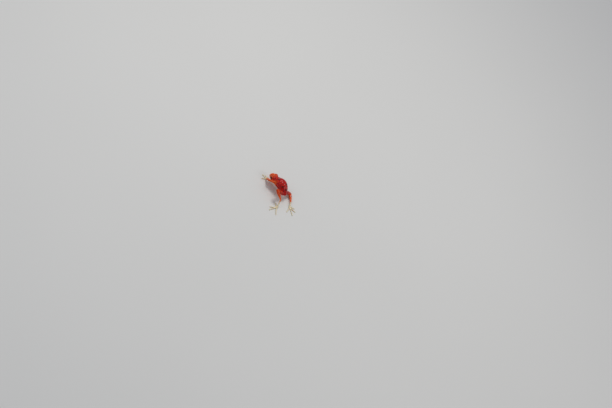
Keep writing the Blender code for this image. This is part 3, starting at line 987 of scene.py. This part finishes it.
def skin_finish():
    """Moist skin: red on the back, orange on the head and limbs, cream on hands and feet."""
    finish = Finish("frog_skin")
    clouds = finish.noise(0.55, 3.0)
    red = finish.blend(finish.ramp(clouds, 0.35, 0.7), DEEP_RED, BACK_RED)
    drift = finish.ramp(clouds, 0.3, 0.7, -0.15, 0.15)
    orange_share = finish.sums("ADD", finish.attribute("orange"), drift)
    colour = finish.blend(finish.ramp(orange_share, 0.05, 0.95), red, WARM_ORANGE)
    belly = finish.ramp(finish.attribute("belly"), 0.2, 1.0, 0.0, 0.8)
    colour = finish.blend(belly, colour, BELLY_ORANGE)
    mottle = finish.ramp(finish.noise(1.6, 4.0, (3, 1, 2)), 0.45, 0.62)
    pale = finish.blend(mottle, CREAM, TAN)
    cream = finish.attribute("cream")
    tan_flecks = finish.ramp(finish.noise(2.8, 3.0, (1, 6, 4)), 0.5, 0.72, 0.0, 0.5)
    toes = finish.blend(tan_flecks, CREAM, TAN)
    pale = finish.blend(finish.ramp(cream, 0.7, 1.0), pale, toes)
    edge = finish.sums("ADD", cream, finish.ramp(finish.noise(1.1, 3.0), 0.3, 0.7, -0.2, 0.2))
    colour = finish.blend(finish.ramp(edge, 0.2, 0.75), colour, pale)
    ragged = finish.ramp(finish.noise(2.2, 2.0, (5, 2, 7)), 0.3, 0.7, -0.35, 0.35)
    spots = finish.ramp(finish.sums("ADD", finish.attribute("spot"), ragged), 0.88, 1.08, 1.0, 0.0)
    colour = finish.blend(spots, colour, SPOT_BLACK)
    # Painted shade darkens the mouth line, the nostrils, the ear rings and the edges of the eye
    # seats
    crease_shade = finish.ramp(finish.attribute("crease_shade"), 0.2, 1.0, 0.0, 0.9)
    colour = finish.blend(crease_shade, colour, CREASE_SHADE)
    finish.join(colour, finish.shader.inputs["Base Color"])
    rough = finish.ramp(finish.noise(1.3, 3.0, (8, 8, 1)), 0.3, 0.7, 0.26, 0.4)
    finish.join(rough, finish.shader.inputs["Roughness"])
    grains = finish.ramp(finish.cells(4.2), 0.0, 0.6, 1.0, 0.0)
    normal = finish.bump(grains, 0.03 * MM, 0.55)
    normal = finish.bump(finish.noise(9.0, 2.0), 0.02 * MM, 0.4, normal)
    finish.join(normal, finish.shader.inputs["Normal"])
    finish.set(
        Subsurface_Weight=0.12,
        Subsurface_Scale=0.5 * MM,
        Subsurface_Radius=(1.0, 0.22, 0.1),
        Specular_IOR_Level=0.13,
        Coat_Weight=0.2,
        Coat_Roughness=0.06,
    )
    return finish.material


def eye_finish(sign):
    """A dark, glassy eye: bronze flecks round a level black pupil."""
    finish = Finish("frog_eye")
    middle = eye_middle(sign) * MM
    scale = 1 / (EYE_RADIUS * MM)
    place = finish.coordinates(scale, tuple(-scale * value for value in middle))
    split = finish.add("ShaderNodeSeparateXYZ")
    finish.join(place, split.inputs["Vector"])
    ahead = finish.sums("ADD", split.outputs["Y"], PUPIL_AHEAD)
    across = finish.sums("DIVIDE", ahead, PUPIL_HALF_WIDTH)
    rise = finish.sums("DIVIDE", split.outputs["Z"], PUPIL_HALF_HEIGHT)
    squares = [finish.sums("MULTIPLY", value, value) for value in (across, rise)]
    radius = finish.sums("ADD", *squares)
    flecks = finish.ramp(finish.noise(7.0, 4.0), 0.48, 0.62)
    iris = finish.blend(flecks, IRIS_DARK, IRIS_BRONZE)
    ring = finish.ramp(radius, 0.9, 1.25)
    colour = finish.blend(ring, PUPIL_BLACK, iris)
    rim = finish.ramp(radius, 3.2, 5.0)
    colour = finish.blend(rim, colour, RIM_BLACK)
    finish.join(colour, finish.shader.inputs["Base Color"])
    finish.set(Roughness=0.06, Coat_Weight=0.3, Coat_Roughness=0.02, IOR=1.4)
    return finish.material


# The eye's clear front: its share of the ball, its lean forward and up, and its rise
FRONT_SHARE = 0.72
FRONT_LEAN = (-0.12, 0.02)
FRONT_RISE = 1.07


def make_eye(side, sign):
    """Draw an eyeball out of a ball, with its clear front raised over the pupil."""
    eye = ball(eye_middle(sign), (EYE_RADIUS,) * 3, 48, 32)
    eye.name = "eyeball_" + side
    bpy.ops.object.mode_set(mode="EDIT")
    bpy.ops.mesh.select_mode(type="VERT")
    mesh = bmesh.from_edit_mesh(eye.data)
    middle = eye_middle(sign)
    outward = Vector((sign, *FRONT_LEAN)).normalized()
    for vert in mesh.verts:
        vert.select_set((vert.co - middle).normalized().dot(outward) > FRONT_SHARE)
    bmesh.update_edit_mesh(eye.data)
    bpy.ops.transform.resize(value=(FRONT_RISE, 1.0, 1.0), center_override=middle)
    bpy.ops.object.mode_set(mode="OBJECT")
    apply_modifier(eye, "SMOOTH", factor=0.4, iterations=2)
    bpy.ops.object.shade_smooth()
    eye.data.materials.append(eye_finish(sign))
    to_metres(eye)
    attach(eye, "root")
    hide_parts("eye_" + side)


# Stage

BACKDROP = (0.94, 0.955, 1.0)
BACKDROP_STRENGTH = 0.38
FLOOR_FADE = (0.12, 1.0)
FLOOR_SIZE = 80.0
# Lights: place, size, power and colour
LIGHTS = {
    "key": ((-0.30, -0.35, 0.90), 0.36, 3.8, (1.0, 0.98, 0.94)),
    "fill": ((0.75, -0.35, 0.65), 0.45, 1.0, (0.92, 0.96, 1.0)),
    "rim": ((-0.15, 0.70, 0.60), 0.30, 0.8, (1.0, 0.98, 0.95)),
}


def floor_finish():
    """A pale floor that fades into the studio's backdrop far from the frog."""
    finish = Finish("pale_floor")
    tone = finish.blend(finish.noise(0.004, 2.0), FLOOR_PALE, FLOOR_LIGHT)
    finish.join(tone, finish.shader.inputs["Base Color"])
    finish.set(Roughness=0.75)
    reach = finish.add("ShaderNodeVectorMath", operation="LENGTH")
    finish.join(finish.coordinates(1.0), reach.inputs[0])
    backdrop = finish.add("ShaderNodeEmission")
    backdrop.inputs["Color"].default_value = (*BACKDROP, 1.0)
    backdrop.inputs["Strength"].default_value = BACKDROP_STRENGTH
    fade = finish.add("ShaderNodeMixShader")
    finish.join(finish.ramp(reach.outputs["Value"], *FLOOR_FADE), fade.inputs["Fac"])
    finish.join(finish.shader.outputs["BSDF"], fade.inputs[1])
    finish.join(backdrop.outputs["Emission"], fade.inputs[2])
    output = finish.tree.nodes["Material Output"]
    finish.join(fade.outputs["Shader"], output.inputs["Surface"])
    return finish.material


def make_floor():
    deselect_everything()
    bpy.ops.mesh.primitive_plane_add(size=FLOOR_SIZE, location=(0, 0, 0))
    floor = bpy.context.object
    floor.name = "floor"
    floor.data.materials.append(floor_finish())


def soft_light(name, place, size, power, colour):
    """Hang an area light that faces the frog."""
    bpy.ops.object.light_add(type="AREA", location=place)
    light = bpy.context.object
    light.name = name
    light.data.size = size
    light.data.energy = power
    light.data.color = colour
    light.rotation_euler = (-Vector(place)).to_track_quat("-Z", "Y").to_euler()


def make_lights():
    world = bpy.data.worlds.new("studio")
    bpy.context.scene.world = world
    world.use_nodes = True
    background = world.node_tree.nodes["Background"]
    background.inputs["Color"].default_value = (*BACKDROP, 1.0)
    background.inputs["Strength"].default_value = BACKDROP_STRENGTH
    for name, settings in LIGHTS.items():
        soft_light(name, *settings)


# Camera: it looks from the frog's left and above, and is rolled
FRAME_WIDTH = 612
FRAME_HEIGHT = 408
CAMERA_AZIMUTH = 106.6
CAMERA_ELEVATION = 41.3
CAMERA_ROLL = 42.0
PIXELS_PER_MM = 1.327
LENS = 100.0
SENSOR = 36.0
VENT_PIXEL = (284.5, 195.5)
VENT_HEIGHT = 3.6


def make_camera():
    """Stand the camera so that the frog's vent falls on its pixel, with no lens shift."""
    azimuth, elevation, roll = map(math.radians, (CAMERA_AZIMUTH, CAMERA_ELEVATION, CAMERA_ROLL))
    level = math.cos(elevation)
    towards = Vector(
        (level * math.sin(azimuth), -level * math.cos(azimuth), math.sin(elevation))
    )
    right = (-towards).cross(Vector((0, 0, 1))).normalized()
    up = right.cross(-towards)
    turned_right = right * math.cos(roll) + up * math.sin(roll)
    turned_up = up * math.cos(roll) - right * math.sin(roll)
    distance = FRAME_WIDTH / (SENSOR / LENS * PIXELS_PER_MM)
    across = (VENT_PIXEL[0] - FRAME_WIDTH / 2) / PIXELS_PER_MM
    down = (VENT_PIXEL[1] - FRAME_HEIGHT / 2) / PIXELS_PER_MM
    place = frog_point(0, 0, VENT_HEIGHT) - turned_right * across + turned_up * down
    place = (place + towards * distance) * MM
    data = bpy.data.cameras.new("camera")
    data.lens = LENS
    data.sensor_width = SENSOR
    data.clip_start = 0.01
    data.clip_end = 20.0
    camera = bpy.data.objects.new("camera", data)
    bpy.context.scene.collection.objects.link(camera)
    turn = Matrix((turned_right, turned_up, towards)).transposed().to_4x4()
    camera.matrix_world = Matrix.Translation(place) @ turn
    bpy.context.scene.camera = camera


def main():
    bpy.context.scene.view_settings.view_transform = "Standard"
    skin = make_skin()
    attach(skin, "root")
    flesh_nodes = [name for name in sorted(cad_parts) if not name.startswith("eye_")]
    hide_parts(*flesh_nodes)
    for side, sign in SIDES:
        make_eye(side, sign)
    make_floor()
    make_lights()
    make_camera()


main()
